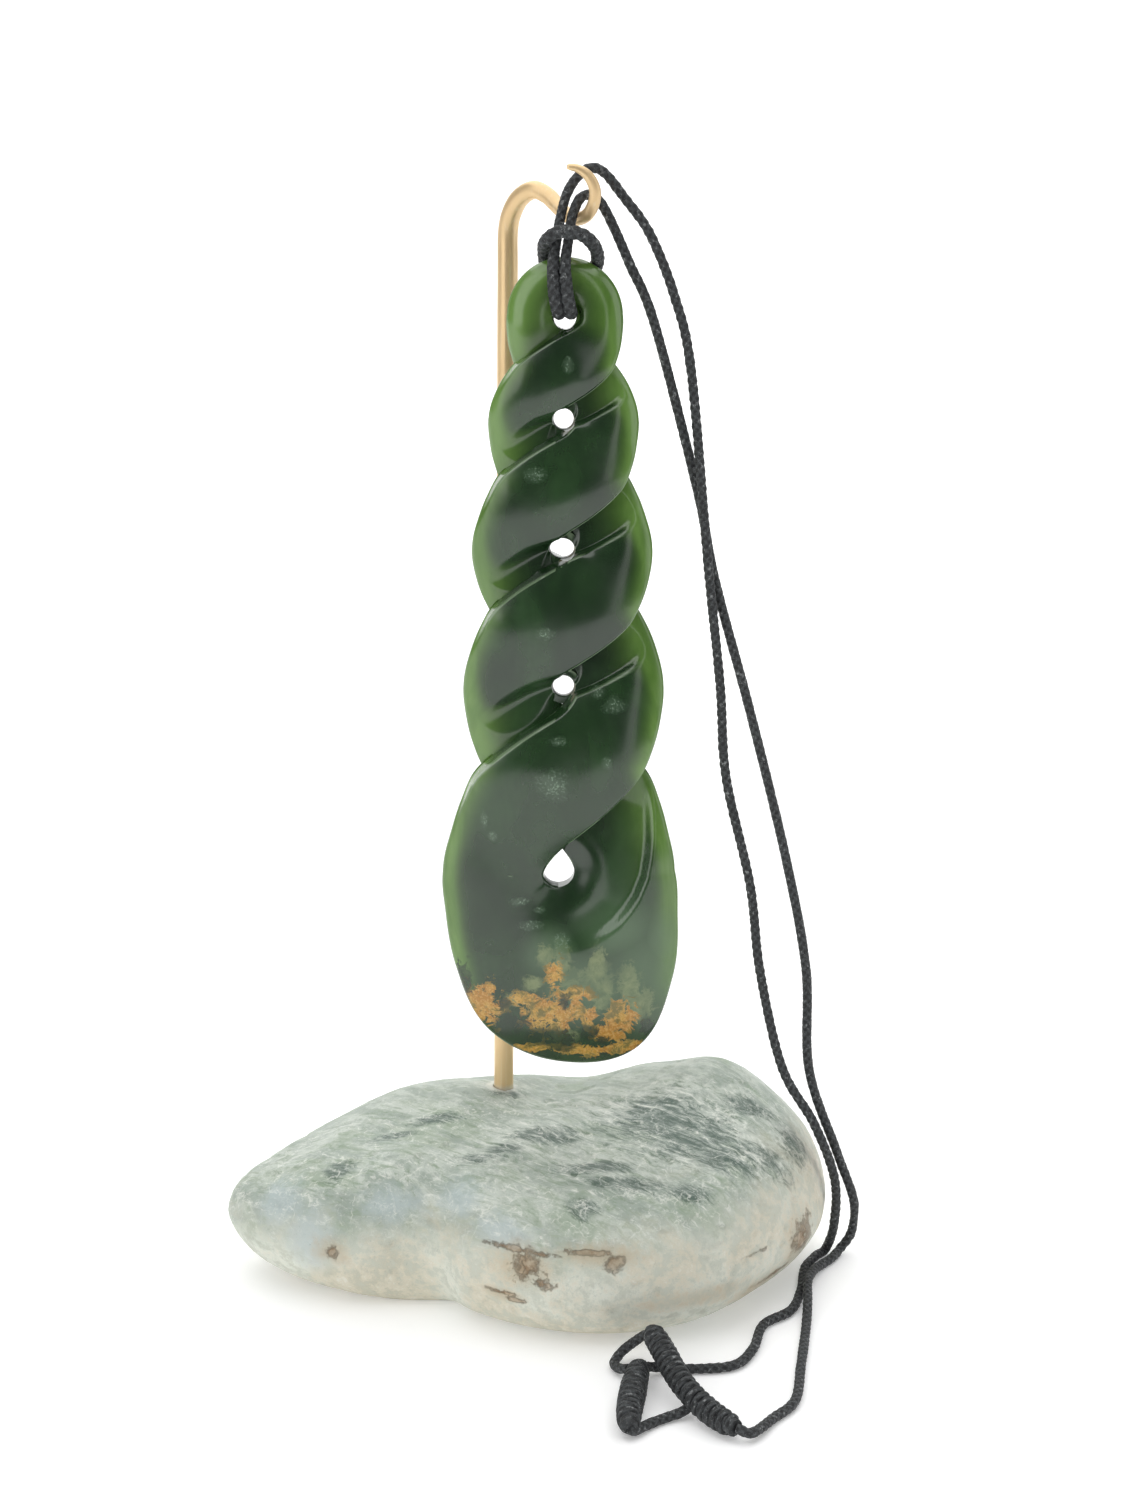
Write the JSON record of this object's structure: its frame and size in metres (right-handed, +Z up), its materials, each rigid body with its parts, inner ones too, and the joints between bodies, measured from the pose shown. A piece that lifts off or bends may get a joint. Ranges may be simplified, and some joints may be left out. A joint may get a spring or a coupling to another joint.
{
  "type": "greenstone twist pendant on a hooked stone display stand",
  "caption": "Flat carved greenstone pendant of two strands twisted round each other, on an adjustable braided cord hung from a hooked brass rod in a boulder foot.",
  "frame": {"origin": "on the floor, under the middle of the boulder and rod as seen from above", "axes": "+Z up, the pendant's face and the open side of the hook towards -Y, +X to the viewer's right"},
  "size_m": [0.0973, 0.0868, 0.1669],
  "materials": {
    "greenstone": "high polish, translucent deep green",
    "boulder": "water-worn, satin",
    "rod": "satin",
    "cord": "braided, waxed"
  },
  "bodies": {
    "root": {"rock_base": "boulder", "hook_rod": "rod", "cord_outer": "cord", "cord_inner": "cord", "tail_upper": "cord", "tail_lower": "cord", "knot_long": "cord", "knot_short": "cord"},
    "pendant": {"twist_pendant": "greenstone"}
  },
  "joints": [
    {"name": "pendant_swing", "type": "hinge", "parent": "root", "child": "pendant", "pos_m": [0.00565, 0, 0.1457], "axis": [0, 1, 0], "range_deg": [-5, 12]}
  ]
}
